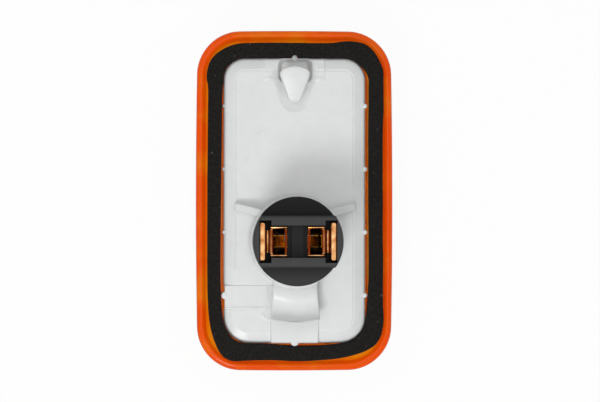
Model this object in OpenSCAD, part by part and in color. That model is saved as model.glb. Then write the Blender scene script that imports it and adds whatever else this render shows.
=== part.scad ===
// Side repeater lamp: an amber lens, a foam seal, a white housing and a quarter-turn bulb holder.
// The lens front lies on z = 0, +Z leaves the back of the lamp and +Y runs along its long side.

/* [Lens] */
// Width of the lens over its flange
lens_w = 39.4; // [38:0.2:44]
// Length of the lens over its flange
lens_l = 68; // [67:0.5:74]
// Corner radius of the flange outline
lens_r = 8.4; // [7.6:0.2:9.4]
// How far each long side bows out at its middle
side_bow = 0.4; // [0:0.1:0.8]
// How far each short end bows out at its middle
end_bow = 0.25; // [0:0.05:0.6]
// Height of the seal shelf above the lens front
shelf_z = 12.6; // [12.2:0.2:13.4]
// Thickness of the flange plate
flange_t = 2.2; // [1.8:0.1:2.6]
// Wall of the lens front and of its rounded edge
front_t = 2.2; // [1.8:0.1:2.6]
// Outer radius of the rounded edge of the front
edge_r = 4.5; // [3.6:0.1:5]
// How far the dome stands in from the flange outline
dome_in = 3.6; // [3:0.1:3.9]
// Height of the rear lip above the shelf
lip_h = 0.9; // [0.6:0.1:1.4]
// Width of the rear lip
lip_w = 1.8; // [1.4:0.1:1.9]
// Inset of the mouth that takes the housing
mouth_in = 4.85; // [4.7:0.05:5]
// Depth of the mouth below the shelf, down to the ledge
mouth_depth = 2.4; // [2:0.1:3]
// Width of the ledge that the housing stands on
ledge_w = 1.5; // [1.3:0.1:1.8]
// Pitch of the flutes inside the lens front
flute_pitch = 4; // [3:0.5:6]
// Height of the flutes above the inner face
flute_h = 0.6; // [0.4:0.1:0.8]

/* [Foam seal] */
// Thickness of the foam as fitted
seal_t = 2.9; // [2.2:0.1:3.2]
// Clearance of the foam from the lip and the housing
seal_gap = 0.05; // [0.03:0.01:0.1]

/* [Housing] */
// Gap between the housing and the mouth of the lens
tray_gap = 0.7; // [0.6:0.05:0.8]
// How far each centring rib stands out into that gap
nub_out = 0.4; // [0.2:0.05:0.5]
// Pitch of the centring ribs along the sides
nub_pitch = 12.6; // [11:0.2:13]
// Corner radius at the hook end
tray_r_hook = 4.3; // [3.8:0.1:4.8]
// Corner radius at the latch end
tray_r_latch = 5.2; // [4.8:0.1:5.5]
// Height of the flat back above the shelf
back_h = 2.4; // [2:0.1:2.8]
// Thickness of the back plate
plate_t = 1.6; // [1.4:0.1:2]
// Thickness of the skirt
skirt_t = 1.5; // [1.3:0.1:1.7]
// Width of the sloping border
border_w = 2.4; // [2:0.1:2.8]
// Fall of the sloping border
border_fall = 0.8; // [0.4:0.1:1]
// Height of the pads that run out over the border
pad_h = 0.2; // [0.1:0.05:0.4]

/* [Hook] */
// Distance of the hook's free end from the end of the housing
hook_end_in = 1.6; // [1.2:0.1:2.2]
// Length of the hook from its root to its free end
hook_l = 7.6; // [7:0.2:8.4]
// Width of the hook at its free end
hook_w = 6; // [5:0.2:7]
// Gap under the hook for the edge of the panel
hook_gap = 1.3; // [1:0.1:1.6]
// Thickness of the hook at its free end
hook_t = 1.7; // [1.4:0.1:2]
// Depth of the pocket round the hook
hook_pocket = 0.5; // [0.3:0.1:0.7]

/* [Latch strap] */
// Reach of the strap beyond the tube
strap_reach = 6.95; // [6.4:0.05:7.4]
// Radius of the strap's curl, at its middle
curl_r = 4.2; // [4:0.1:4.5]
// Thickness of the strap
strap_t = 1.5; // [1.2:0.1:1.8]
// Gap between the strap and the pad under it
strap_gap = 1.45; // [1.2:0.05:1.8]
// Width of the strap at the tube
strap_w = 8.6; // [8:0.2:9.4]
// How much wider the strap is at its free end
strap_flare = 1.1; // [0.6:0.1:1.4]

/* [Holder tube] */
// Place of the holder's axis along the lamp
holder_y = -8; // [-9:0.5:-7]
// Wall of the tube round the bore that the lugs turn in
tube_wall = 1.2; // [1:0.1:1.4]
// Height of the tube above the flat back
tube_h = 12; // [11.4:0.2:12.6]
// Height of the rim that the lugs lock under
rim_h = 2.2; // [1.8:0.1:2.6]
// Thickness of the gusset ribs
gusset_t = 1.6; // [1.2:0.1:2]
// Height of the gusset ribs at the tube
gusset_h = 4; // [3:0.2:5]

/* [Bulb holder] */
// How far the disc stands in from the tube
disc_in = 0.22; // [0.15:0.01:0.3]
// Thickness of the disc
disc_t = 2.2; // [2:0.1:2.6]
// Wall of the neck round the bulb
neck_wall = 1.3; // [1.2:0.05:1.35]
// How far the lugs reach out of the neck
lug_out = 0.7; // [0.6:0.05:0.75]
// Height of the lugs
lug_h = 1.6; // [1.2:0.1:1.8]
// Running clearance between the holder and the tube
run_gap = 0.3; // [0.25:0.05:0.35]
// How far the grip bar stands out beside the blades
bar_wall = 1.3; // [1.2:0.1:1.6]
// Height of the grip bar above the disc
bar_h = 5.4; // [5.2:0.1:6]
// Step from a blade in to the end of the plug cavity
cavity_step = 0.55; // [0.45:0.05:0.65]
// How much narrower than the blades the plug cavity is
cavity_narrow = 1.15; // [1:0.05:1.3]
// Depth of the plug cavity, down to the web
cavity_d = 4.6; // [4.4:0.1:4.8]
// Width of the web between the clips
web_w = 2.3; // [2:0.1:2.6]
// Thickness of the web
web_t = 1.3; // [1.1:0.1:1.4]
// Thickness of the rubber gasket under the disc
gasket_t = 0.8; // [0.6:0.1:1]

/* [Contacts] */
// How far the middle of a blade stands in from the disc's edge
blade_in = 1.85; // [1.8:0.05:1.95]
// Width of a blade
blade_w = 7.4; // [7:0.1:7.5]
// Thickness of a blade, folded double
blade_t = 1.05; // [0.9:0.05:1.1]
// How far the blades stop short of the top of the bar
blade_down = 1.7; // [1.2:0.1:2]
// Thickness of the contact strip
strip_t = 0.4; // [0.3:0.05:0.45]

/* [Bulb] */
// Overall length of the bulb
bulb_l = 26; // [25.4:0.2:26.4]
// Diameter of the glass envelope
bulb_d = 10; // [9.6:0.1:10.2]
// How much narrower than the envelope the wedge base is
wedge_narrow = 0.5; // [0.4:0.1:0.7]
// Thickness of the wedge base
wedge_t = 2.1; // [2:0.05:2.2]
// Length of the wedge base
wedge_l = 6.5; // [6.3:0.1:6.8]
// Thickness of the glass
glass_t = 0.7; // [0.5:0.1:0.9]
// Diameter of the lead wires
lead_d = 0.5; // [0.4:0.05:0.6]
// Height of the filament above the tip of the envelope
filament_up = 10; // [9:0.5:11]
// Length of the wire folded back along the wedge base
lead_back = 4.5; // [4:0.5:5]

/* [Hidden] */
$fn = 64;

// Radii of the holder and its tube, from the bulb outwards
bulb_gap = 0.4;
neck_r = bulb_d / 2 + bulb_gap + neck_wall;
neck_bore_r = neck_r + run_gap;
lug_r = neck_r + lug_out;
bore_r = lug_r + run_gap + 0.05;
tube_r = bore_r + tube_wall;
disc_r = tube_r - disc_in;
strap_end_r = tube_r + strap_reach;
blade_x = disc_r - blade_in;
bar_w = blade_w + 2 * bar_wall;
cavity_l = 2 * (blade_x - blade_t / 2 - cavity_step);
cavity_w = blade_w - cavity_narrow;
wedge_w = bulb_d - wedge_narrow;

// Heights that the pieces share
lip_z = shelf_z + lip_h;
flange_z = shelf_z - flange_t;
ledge_z = shelf_z - mouth_depth;
back_z = shelf_z + back_h;
plate_z = back_z - plate_t;
seat_gap = 0.05;
skirt_z = ledge_z + seat_gap;
tube_z = back_z + tube_h;
rim_z = tube_z - rim_h;
gasket_gap = 0.05;
disc_z = tube_z + gasket_t + 2 * gasket_gap;
disc_top = disc_z + disc_t;
bar_top = disc_top + bar_h;
cavity_z = bar_top - cavity_d;
web_z = cavity_z - web_t;
wedge_end_z = web_z - 0.35;
bulb_tip_z = wedge_end_z - bulb_l;
wedge_z = wedge_end_z - wedge_l;

// Outline of the lens at an inset: arcs at the corners, and sides whose bow fades out at the mouth
corner_steps = 8;
side_steps = 8;
corner_fall = 0.55;
function ring_r(inset) = lens_r - corner_fall * inset;
function fade(inset) = max(0, 1 - inset / mouth_in);
function square_ring(a, b, r) = [
    for (k = [0 : 3])
        let (cx = (k == 0 || k == 3 ? 1 : -1) * (a - r), cy = (k < 2 ? 1 : -1) * (b - r),
             next_cx = (k == 0 || k == 1 ? -1 : 1) * (a - r), next_cy = (k == 0 || k == 3 ? 1 : -1) * (b - r))
        each concat(
            [for (i = [0 : corner_steps])
                let (t = 90 * k + 90 * i / corner_steps) [cx + r * cos(t), cy + r * sin(t)]],
            [for (i = [1 : side_steps - 1])
                let (t = 90 * (k + 1), s = i / side_steps,
                     p = [cx + r * cos(t), cy + r * sin(t)],
                     q = [next_cx + r * cos(t), next_cy + r * sin(t)])
                p + (q - p) * s])
];
function lens_ring(inset) =
    let (f = fade(inset), a = lens_w / 2 - inset - f * side_bow, b = lens_l / 2 - inset - f * end_bow)
    [for (p = square_ring(a, b, ring_r(inset)))
        [p.x * (1 + f * side_bow / a * (1 - pow(p.y / b, 2))),
         p.y * (1 + f * end_bow / b * (1 - pow(p.x / a, 2)))]];

// Profile of the lens as inset and height, from the front, round the rim, to the inner face
dome_draft = 0.6;
arc_steps = 6;
flat_in = dome_in + dome_draft + edge_r;
chamber_in = mouth_in + ledge_w;
lens_profile = concat(
    [for (i = [0 : arc_steps])
        let (t = 90 * i / arc_steps) [flat_in - edge_r * sin(t), edge_r * (1 - cos(t))]],
    [[dome_in, flange_z - 0.4], [dome_in - 0.4, flange_z], [0.5, flange_z], [0.15, flange_z + 0.15],
     [0, flange_z + 0.5], [0, lip_z - 0.8], [0.12, lip_z - 0.35], [0.4, lip_z - 0.08], [0.8, lip_z],
     [lip_w - 0.4, lip_z - 0.08], [lip_w - 0.12, lip_z - 0.35], [lip_w, lip_z - 0.8], [lip_w + 0.1, shelf_z],
     [mouth_in, shelf_z], [mouth_in + 0.05, ledge_z], [chamber_in, ledge_z]],
    [for (i = [0 : arc_steps])
        let (t = 90 - 90 * i / arc_steps, r = edge_r - front_t)
        [flat_in - r * sin(t) + (chamber_in + 0.2 - (flat_in - r)) * (1 - i / arc_steps),
         edge_r - r * cos(t)]]);

// Route of the foam strip, laid by hand: for each corner, points as distances from its two sides and width.
// A distance under 1 is a share of the half side instead
seal_route = [
    [-1, 1, [[3.65, 0.996, 2.7], [3.8, 0.53, 2.8], [3.9, 11.7, 2.9], [4.05, 9.1, 3.8], [4.95, 6.55, 3.8],
             [0.406, 4.5, 3.3], [0.645, 4.05, 3.05]]],
    [1, 1, [[0.975, 4.05, 3.05], [0.65, 4.1, 3.05], [0.449, 4, 3.6], [5.8, 5, 3.9], [3.5, 8.5, 3.2],
            [3.3, 12.4, 3.1], [3.5, 0.588, 2.8], [3.5, 0.996, 2.8]]],
    [1, -1, [[3.45, 0.597, 2.8], [3.6, 13.3, 3.1], [3.8, 9.7, 3.7], [5, 6.6, 3.9], [0.426, 4.55, 2.9],
             [0.64, 3.8, 2.95], [0.952, 3.5, 3.05]]],
    [-1, -1, [[0.746, 3.8, 3.2], [0.505, 3.85, 3.5], [7.1, 4.25, 4.1], [5.2, 6.7, 3.3], [4, 10.8, 2.75],
              [3.6, 0.538, 2.6]]]
];
function seal_in(d, half) = d < 1 ? d * half : d;
seal_knots = [for (c = seal_route, p = c[2])
    [c[0] * (lens_w / 2 - seal_in(p[0], lens_w / 2)), c[1] * (lens_l / 2 - seal_in(p[1], lens_l / 2)), p[2]]];
seal_steps = 4;
function spline(a, b, c, d, t) =
    (2 * b + (c - a) * t + (2 * a - 5 * b + 4 * c - d) * t * t + (3 * b - a - 3 * c + d) * t * t * t) / 2;
seal_line = [
    for (i = [0 : len(seal_knots) - 1], j = [0 : seal_steps - 1])
        let (n = len(seal_knots))
        spline(seal_knots[(i + n - 1) % n], seal_knots[i], seal_knots[(i + 1) % n], seal_knots[(i + 2) % n],
               j / seal_steps)
];
function seal_edge(side) = [
    for (i = [0 : len(seal_line) - 1])
        let (n = len(seal_line), p = seal_line[i], d = seal_line[(i + 1) % n] - seal_line[(i + n - 1) % n],
             m = norm([d.x, d.y]))
        [p.x - side * p[2] / 2 * d.y / m, p.y + side * p[2] / 2 * d.x / m]
];

// Housing sizes that follow the mouth of the lens
tray_w = lens_w - 2 * (mouth_in + tray_gap);
tray_l = lens_l - 2 * (mouth_in + tray_gap);
edge_z = back_z - border_fall;
hook_free_y = tray_l / 2 - hook_end_in;
hook_root_y = hook_free_y - hook_l;
lug_top = rim_z - run_gap;
lug_turn = 45;
lug_sweep = 24;
lug_angles = [30, 150, 270];
notch_sweep = lug_sweep + 6;
stop_sweep = 12;
stop_gap = 4;
curl_z = back_z + pad_h + strap_gap + strap_t / 2 + curl_r;
curl_x = strap_end_r - curl_r * cos(42);
gusset_slope = 15;

// Sizes of the holder's slots that follow the contacts and the bulb
slot_gap = 0.1;
clip_in = web_w / 2 + 0.9;
clip_out = cavity_l / 2 - 0.6;
well_x = clip_out + 0.2;
web_gap_z = cavity_z - 0.8;
pocket_z = disc_z + 0.4;
lead_x = wedge_w / 4;
well_in = min(clip_in, lead_x - lead_d / 2) - slot_gap;

module lens_body() {
    n = len(lens_ring(0));
    rows = len(lens_profile);
    m = corner_steps / 2;
    // Each flat end is a ladder of strips between two opposite corners
    function strip(i) = [(m + i) % n, (m + i + 1) % n, (m - i - 1 + n) % n, (m - i + n) % n];
    function rung(i) = i == 0 ? [m, m + 1, m - 1]
                     : i == n / 2 - 1 ? [(m + i) % n, (m + i + 1) % n, (m - i + n) % n] : strip(i);
    polyhedron(
        points = [for (q = lens_profile, p = lens_ring(q[0])) [p.x, p.y, q[1]]],
        faces = concat(
            [for (i = [0 : n / 2 - 1]) rung(i)],
            [for (i = [0 : rows - 2], j = [0 : n - 1])
                [i * n + j, (i + 1) * n + j, (i + 1) * n + (j + 1) % n, i * n + (j + 1) % n]],
            [for (i = [0 : n / 2 - 1])
                let (f = rung(i)) [for (k = [len(f) - 1 : -1 : 0]) (rows - 1) * n + f[k]]]));
}

// Flutes across the inner face spread the light along the car
module lens_flutes() {
    flute_r = (flute_pitch * flute_pitch / 4 + flute_h * flute_h) / (2 * flute_h);
    reach = lens_w / 2 - flat_in - 0.2;
    count = floor((lens_l / 2 - flat_in) / flute_pitch);
    intersection() {
        for (i = [-count : count])
            translate([0, i * flute_pitch, front_t + flute_h - flute_r])
                rotate([0, 90, 0]) cylinder(r = flute_r, h = 2 * reach, center = true);
        translate([-lens_w / 2, -lens_l / 2, front_t - 0.3]) cube([lens_w, lens_l, 3]);
    }
}

module lens() {
    color([1, 0.36, 0.02, 0.75]) union() {
        lens_body();
        lens_flutes();
    }
}

// The foam strip, squeezed between the lip of the lens and the housing
module foam_seal() {
    outer = seal_edge(1);
    inner = seal_edge(-1);
    n = len(outer);
    color([0.12, 0.12, 0.13]) difference() {
        intersection() {
            translate([0, 0, shelf_z]) linear_extrude(height = seal_t)
                polygon(concat(outer, inner),
                        paths = [[for (i = [0 : n - 1]) i], [for (i = [0 : n - 1]) n + i]]);
            translate([0, 0, shelf_z - 1]) linear_extrude(height = seal_t + 2)
                polygon(lens_ring(lip_w + 0.1 + seal_gap));
        }
        tray_layer(-seal_gap, shelf_z - 1, seal_t + 2);
        centring_nubs(seal_gap);
    }
}

// Outline of the housing: square ends with a corner radius of their own
module tray_shape(inset) {
    w = tray_w - 2 * inset;
    l = tray_l - 2 * inset;
    r1 = max(tray_r_hook - inset, 0.8);
    r2 = max(tray_r_latch - inset, 0.8);
    translate([-w / 2, -l / 2 + r2]) square([w, l - r1 - r2]);
    translate([-w / 2 + r1, -l / 2 + r2]) square([w - 2 * r1, l - r2]);
    translate([-w / 2 + r2, -l / 2]) square([w - 2 * r2, l / 2]);
    for (s = [-1, 1]) {
        translate([s * (w / 2 - r1), l / 2 - r1]) circle(r = r1, $fn = 40);
        translate([s * (w / 2 - r2), -l / 2 + r2]) circle(r = r2, $fn = 40);
    }
}

module tray_layer(inset, z, h) {
    translate([0, 0, z]) linear_extrude(height = h) tray_shape(inset);
}

// The tray, its border sloping in three steps like the rolled edge of the moulding
module tray() {
    thin = 0.02;
    difference() {
        hull() {
            tray_layer(0, skirt_z, edge_z - 0.25 - skirt_z);
            tray_layer(0.3, edge_z, thin);
            tray_layer(border_w, back_z - thin, thin);
        }
        tray_layer(skirt_t, skirt_z - 1, plate_z - skirt_z + 1);
    }
}

// Centring ribs round the tray, and with grow the notches that they press into the foam
module centring_nubs(grow) {
    nub_h = edge_z - 0.1 - skirt_z + (grow > 0 ? 3 : 0);
    for (s = [-1, 1], k = [-1.5 : 1 : 1.5])
        translate([s * (tray_w / 2 + nub_out - 0.5), k * nub_pitch, skirt_z])
            cylinder(r = 0.5 + grow, h = nub_h, $fn = 24);
    for (s = [-1, 1])
        translate([0, s * (tray_l / 2 + nub_out - 0.8), skirt_z]) cylinder(r = 0.8 + grow, h = nub_h, $fn = 24);
}

module plan_leaf(grow) {
    hull() {
        translate([0, hook_root_y + 1.3]) circle(r = 1.3 + grow, $fn = 32);
        for (s = [-1, 1])
            translate([s * (hook_w / 2 - 1.1), hook_free_y - 1.7]) circle(r = 1.1 + grow, $fn = 32);
        translate([0, hook_free_y - 2.6]) circle(r = 2.6 + grow, $fn = 32);
    }
}

// Side profile of the hook along y: a root that rises into a tongue with a gap under it
module hook() {
    top = back_z + hook_gap + hook_t;
    intersection() {
        translate([0, 0, plate_z]) linear_extrude(height = 8) plan_leaf(0);
        translate([hook_w, 0, 0]) rotate([90, 0, -90]) linear_extrude(height = 2 * hook_w)
            mirror([1, 0]) polygon([
                [hook_root_y, plate_z], [hook_root_y, back_z], [hook_root_y + 0.3, back_z + 0.8],
                [hook_root_y + 1.1, back_z + 1.5], [hook_root_y + 2.6, back_z + 2.1],
                [hook_free_y - 2.4, top - 0.3], [hook_free_y - 0.9, top], [hook_free_y - 0.3, top - 0.15],
                [hook_free_y, top - 0.5], [hook_free_y, back_z + hook_gap + 0.2],
                [hook_free_y - 0.3, back_z + hook_gap], [hook_root_y + 3.2, back_z + hook_gap],
                [hook_root_y + 2.4, back_z + hook_gap - 0.5], [hook_root_y + 2.1, plate_z]]);
    }
}

module pads() {
    hook_pad_w = 2 * hook_w;
    hook_pad_back = 2.9;
    latch_pad_w = strap_w + strap_flare - 0.2;
    latch_pad_y = holder_y - tube_r - 2.4;
    difference() {
        union() {
            translate([-hook_pad_w / 2, hook_free_y - hook_pad_back, plate_z])
                cube([hook_pad_w, hook_pad_back + hook_end_in - 0.1, plate_t + pad_h]);
            translate([-latch_pad_w / 2, -tray_l / 2 + 0.1, plate_z])
                cube([latch_pad_w, latch_pad_y + tray_l / 2 - 0.1, plate_t + pad_h]);
        }
        translate([0, holder_y, plate_z - 1]) cylinder(r = tube_r - 0.3, h = 5);
    }
    for (s = [-1, 1])
        translate([s * (hook_pad_w / 2 - 1.1), hook_free_y - hook_pad_back + 0.5, plate_z])
            cylinder(r = 0.5, h = plate_t + pad_h + 0.35);
}

// The corner left of the strap lies lower, and carries a block with a rounded foot at its inner end
low_y = holder_y - 5.85;
low_x = strap_w / 2 + strap_flare / 2 - 0.1;
low_fall = 0.25;
block_y = holder_y - 13.7;
block_l = 4.8;
block_in = 0.2;
foot_r = 2.15;
module low_corner() {
    translate([-tray_w, -tray_l, back_z - low_fall]) cube([tray_w - low_x, low_y + tray_l, 2]);
    translate([-tray_w, block_y, shelf_z]) cube([tray_w / 2 + block_in, block_l, 4]);
}

module side_blocks() {
    x0 = -tray_w / 2 + block_in;
    translate([x0, block_y, plate_z]) cube([-low_x - 0.6 - x0, block_l, plate_t + 0.05]);
    translate([-low_x, block_y, plate_z]) rotate([0, 0, 180])
        rotate_extrude(angle = 90) square([foot_r, plate_t - 0.05]);
}

// A strap that leaves the tube, dips to the pad and curls up again, cut from a ring about the axis
module latch_strap() {
    reach = strap_end_r + 4;
    intersection() {
        translate([0, holder_y, 0]) rotate([0, 0, 225]) rotate_extrude(angle = 90, $fn = 96)
            intersection() {
                translate([curl_x, curl_z]) difference() {
                    circle(r = curl_r + strap_t / 2, $fn = 72);
                    circle(r = curl_r - strap_t / 2, $fn = 72);
                }
                translate([tube_r - 0.6, curl_z - 2 * curl_r]) square([strap_end_r - tube_r + 0.9, 2 * curl_r]);
            }
        translate([0, holder_y, 0]) linear_extrude(height = tube_z)
            polygon([[-strap_w / 2, -tube_r + 2], [strap_w / 2, -tube_r + 2],
                     [(strap_w + strap_flare) / 2, -strap_end_r], [(strap_w + strap_flare) / 2, -reach],
                     [-(strap_w + strap_flare) / 2, -reach], [-(strap_w + strap_flare) / 2, -strap_end_r]]);
    }
}

// Two ribs that brace the tube against the border
module gussets() {
    gusset_l = (tray_w / 2 - border_w + 0.3 - tube_r + 2.6) / cos(gusset_slope);
    for (s = [-1, 1])
        translate([s * (tube_r - 2.6), holder_y + 5.35, 0]) mirror([s < 0 ? 1 : 0, 0, 0])
            rotate([0, 0, gusset_slope]) rotate([90, 0, 0])
                translate([0, 0, -gusset_t / 2]) linear_extrude(height = gusset_t)
                    polygon([[-1.2, back_z - 0.5], [gusset_l, back_z - 0.5], [gusset_l, back_z + 1.2],
                             [gusset_l - 0.4, back_z + 1.5], [-1.2, back_z + gusset_h]]);
}

module sector(r1, r2, z, h, mid, sweep) {
    rotate([0, 0, mid - sweep / 2]) rotate_extrude(angle = sweep, $fn = 96)
        translate([r1, z]) square([r2 - r1, h]);
}

// The tube, its bore under a rim, the notches that let the lugs in, and the stops that end their turn
module holder_tube() {
    translate([0, holder_y, 0]) difference() {
        union() {
            rotate_extrude()
                polygon([[bore_r, plate_z - 1], [tube_r, plate_z - 1], [tube_r, tube_z], [neck_bore_r, tube_z],
                         [neck_bore_r, rim_z], [bore_r, rim_z]]);
            for (a = lug_angles, side = [-1, 1])
                sector(neck_bore_r + 0.2, bore_r + 0.2, rim_z - lug_h - run_gap, lug_h - 0.1,
                       a + (side > 0 ? lug_turn : 0) + side * (lug_sweep / 2 + stop_gap + stop_sweep / 2),
                       stop_sweep);
        }
        for (a = lug_angles)
            sector(neck_bore_r - 1, bore_r + 0.1, rim_z - 0.5, rim_h + 2, a + lug_turn, notch_sweep);
    }
}

// What the back carries round the tube, cut clear for it
module back() {
    wall_in = tube_r - 0.5;
    difference() {
        union() {
            difference() {
                union() {
                    difference() {
                        tray();
                        low_corner();
                    }
                    centring_nubs(0);
                    pads();
                    side_blocks();
                }
                translate([0, 0, back_z - hook_pocket]) linear_extrude(height = 3) plan_leaf(1.5);
            }
            hook();
            latch_strap();
            gussets();
            translate([0, holder_y, back_z - 0.2]) cylinder(r1 = tube_r + 0.7, r2 = tube_r - 0.05, h = 0.9);
        }
        translate([0, holder_y, skirt_z]) cylinder(r = wall_in, h = tube_h + back_z - skirt_z + 1);
    }
}

module housing() {
    color([0.93, 0.94, 0.94]) union() {
        back();
        holder_tube();
    }
}

module bulb_holder() {
    pocket_x = blade_x + blade_t / 2 + slot_gap;
    color([0.2, 0.2, 0.21]) translate([0, holder_y, 0]) difference() {
        union() {
            translate([0, 0, lug_top - lug_h - 3.4]) cylinder(r = neck_r, h = disc_z - lug_top + lug_h + 3.5);
            translate([0, 0, disc_z]) cylinder(r1 = disc_r - 0.2, r2 = disc_r, h = 0.3);
            translate([0, 0, disc_z + 0.3]) cylinder(r = disc_r, h = disc_t - 0.6);
            translate([0, 0, disc_top - 0.3]) cylinder(r1 = disc_r, r2 = disc_r - 0.25, h = 0.3);
            intersection() {
                union() {
                    translate([0, 0, disc_z + 0.5]) cylinder(r = disc_r, h = bar_top - disc_z - 0.8);
                    translate([0, 0, bar_top - 0.3]) cylinder(r1 = disc_r, r2 = disc_r - 0.25, h = 0.3);
                }
                translate([-disc_r - 1, 0, disc_z]) rotate([90, 0, 90]) linear_extrude(height = 2 * disc_r + 2)
                    polygon([[-bar_w / 2, 0], [bar_w / 2, 0], [bar_w / 2, bar_top - disc_z - 0.3],
                             [bar_w / 2 - 0.3, bar_top - disc_z], [-bar_w / 2 + 0.3, bar_top - disc_z],
                             [-bar_w / 2, bar_top - disc_z - 0.3]]);
            }
            for (a = lug_angles) sector(neck_r - 0.4, lug_r, lug_top - lug_h, lug_h, a, lug_sweep);
        }
        // Plug cavity, a step beside the web, wells for the clips, and pockets for the blades
        translate([-cavity_l / 2, -cavity_w / 2, cavity_z]) cube([cavity_l, cavity_w, cavity_d + 1]);
        for (s = [-1, 1]) {
            translate([s > 0 ? web_w / 2 : -well_in - 0.1, -cavity_w / 2, web_gap_z])
                cube([well_in + 0.1 - web_w / 2, cavity_w, cavity_z - web_gap_z + 0.1]);
            translate([s > 0 ? well_in : -well_x, -cavity_w / 2, wedge_z - 0.1])
                cube([well_x - well_in, cavity_w, cavity_z - wedge_z + 0.2]);
            translate([s > 0 ? well_x - 0.2 : -pocket_x, -blade_w / 2 - 0.4, pocket_z])
                cube([pocket_x - well_x + 0.2, blade_w + 0.8, bar_top - pocket_z + 1]);
        }
        // Slot for the wedge base and a round mouth for the envelope
        translate([-wedge_w / 2 - 0.15, -wedge_t / 2 - 0.15, wedge_z - 1])
            cube([wedge_w + 0.3, wedge_t + 0.3, web_z - wedge_z + 1]);
        translate([0, 0, wedge_z - 6]) cylinder(r = bulb_d / 2 + bulb_gap, h = 6.6);
    }
}

module holder_gasket() {
    color([0.08, 0.08, 0.08]) translate([0, holder_y, tube_z + gasket_gap]) difference() {
        cylinder(r = tube_r - 0.35, h = gasket_t);
        translate([0, 0, -1]) cylinder(r = neck_bore_r + 0.1, h = gasket_t + 2);
    }
}

// One strip, folded: a blade for the plug, a raised fold beside it, and a cage whose two leaves grip the bulb
module contact() {
    blade_top = bar_top - blade_down;
    blade_r = blade_t / 2;
    tip_cut = 0.45;
    floor_z = pocket_z + slot_gap;
    fold_w = 4.4;
    fold_r = 0.3;
    fold_x = blade_x - blade_r - 0.2 - fold_r;
    fold_top = cavity_z + 0.9;
    rim_r = 0.28;
    clip_z = cavity_z - 0.3;
    rim_y = cavity_w / 2 - slot_gap - rim_r;
    leaf_y = rim_y + strip_t / 2;
    leaf_in = wedge_t / 2 + lead_d + 0.05;
    union() {
        intersection() {
            union() {
                translate([blade_x - blade_r, -blade_w / 2, floor_z])
                    cube([blade_t, blade_w, blade_top - blade_r - floor_z]);
                translate([blade_x, 0, blade_top - blade_r]) rotate([90, 0, 0])
                    cylinder(r = blade_r, h = blade_w, center = true, $fn = 32);
            }
            translate([blade_x - blade_t, 0, 0]) rotate([90, 0, 90]) linear_extrude(height = 2 * blade_t)
                polygon([[-blade_w / 2, floor_z], [blade_w / 2, floor_z], [blade_w / 2, blade_top - tip_cut],
                         [blade_w / 2 - tip_cut, blade_top], [-blade_w / 2 + tip_cut, blade_top],
                         [-blade_w / 2, blade_top - tip_cut]]);
        }
        translate([clip_out - strip_t, -fold_w / 2, floor_z])
            cube([blade_x - clip_out + strip_t, fold_w, strip_t]);
        translate([fold_x - fold_r, -fold_w / 2, floor_z]) cube([2 * fold_r, fold_w, fold_top - fold_r - floor_z]);
        translate([fold_x, 0, fold_top - fold_r]) rotate([90, 0, 0])
            cylinder(r = fold_r, h = fold_w, center = true, $fn = 32);
        // The cage: a back, a low tie at the web, and on each side a rim over a leaf that bends in to the bulb
        translate([clip_out - strip_t, -rim_y, floor_z]) cube([strip_t, 2 * rim_y, clip_z - floor_z]);
        translate([clip_in, -rim_y, wedge_end_z + 0.2]) cube([strip_t, 2 * rim_y, 0.8]);
        for (s = [-1, 1]) {
            translate([clip_in, s * rim_y, clip_z]) rotate([0, 90, 0])
                cylinder(r = rim_r, h = clip_out - clip_in, $fn = 32);
            translate([clip_in, 0, 0]) mirror([0, s < 0 ? 1 : 0, 0])
                rotate([90, 0, 90]) linear_extrude(height = clip_out - clip_in)
                    polygon([[leaf_y, clip_z], [leaf_y, wedge_end_z - 1.2],
                             [leaf_in + strip_t, wedge_z + 2.6], [leaf_in + strip_t, wedge_z + 1.8],
                             [leaf_in + strip_t + 0.5, wedge_z + 0.6], [leaf_in + 0.5, wedge_z + 0.6],
                             [leaf_in, wedge_z + 1.8], [leaf_in, wedge_z + 2.6],
                             [leaf_y - strip_t, wedge_end_z - 1.2], [leaf_y - strip_t, clip_z]]);
        }
    }
}

module contact_right() {
    color([0.76, 0.48, 0.2]) translate([0, holder_y, 0]) contact();
}

module contact_left() {
    color([0.76, 0.48, 0.2]) translate([0, holder_y, 0]) mirror([1, 0, 0]) contact();
}

// Half section of the envelope, as radius and height
module envelope(shrink) {
    r = bulb_d / 2 - shrink;
    shoulder = wedge_z - 1.2;
    rotate_extrude() difference() {
        union() {
            translate([0, bulb_tip_z + bulb_d / 2]) circle(r = r);
            translate([0, bulb_tip_z + bulb_d / 2]) square([r, shoulder - bulb_tip_z - bulb_d / 2]);
            polygon([[0, shoulder - 0.1], [r, shoulder - 0.1], [r, shoulder],
                     [r - 1.4, wedge_z + 0.5 - shrink], [0, wedge_z + 0.5 - shrink]]);
        }
        translate([-bulb_d, bulb_tip_z - 1]) square([bulb_d, bulb_l + 2]);
    }
}

module lead_wire(s, grow) {
    r = lead_d / 2 + grow;
    x = s * lead_x;
    fold_y = -s * (wedge_t / 2 + lead_d / 2 + 0.03);
    post_z = bulb_tip_z + filament_up - 0.4;
    fold_z = wedge_end_z - lead_d / 2;
    translate([x, 0, post_z]) cylinder(r = r, h = fold_z - post_z, $fn = 24);
    translate([x, 0, fold_z]) sphere(r = r, $fn = 24);
    translate([x, min(0, fold_y), fold_z]) rotate([-90, 0, 0]) cylinder(r = r, h = abs(fold_y), $fn = 24);
    translate([x, fold_y, fold_z]) sphere(r = r, $fn = 24);
    translate([x, fold_y, fold_z - lead_back]) cylinder(r = r, h = lead_back, $fn = 24);
}

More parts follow.
